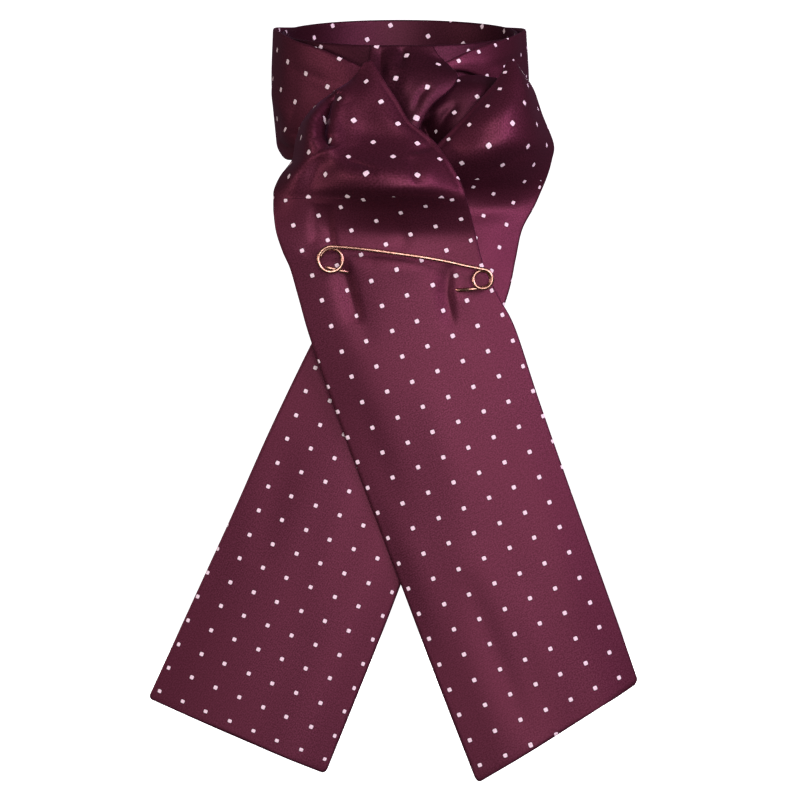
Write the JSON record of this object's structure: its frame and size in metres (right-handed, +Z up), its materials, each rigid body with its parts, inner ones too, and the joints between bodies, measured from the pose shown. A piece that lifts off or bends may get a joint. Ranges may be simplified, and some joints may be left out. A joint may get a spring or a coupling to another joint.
{
  "type": "stock tie",
  "caption": "Worn stock tie with no wearer: satin strip wound twice round the neck, knotted, folded forward in two flaps, with crossed hanging tails held by a wire stock pin.",
  "frame": {"origin": "middle of the neck, on its axis, level with the band's middle at the sides, where the neck holds it", "axes": "+Z up along the neck, -Y to the front where the knot and tails are, +X to the viewer's right"},
  "size_m": [0.2279, 0.1746, 0.3755],
  "materials": {
    "cloth": "dark maroon satin with a small woven dot",
    "pin": "polished rose gold wire"
  },
  "bodies": {
    "root": {"neck_front": "cloth", "neck_back": "cloth", "wrap_left": "cloth", "wrap_right": "cloth", "knot_over": "cloth", "fold_left": "cloth", "fold_right": "cloth", "tail_front": "cloth", "tail_back": "cloth", "pin": "pin"}
  },
  "joints": []
}
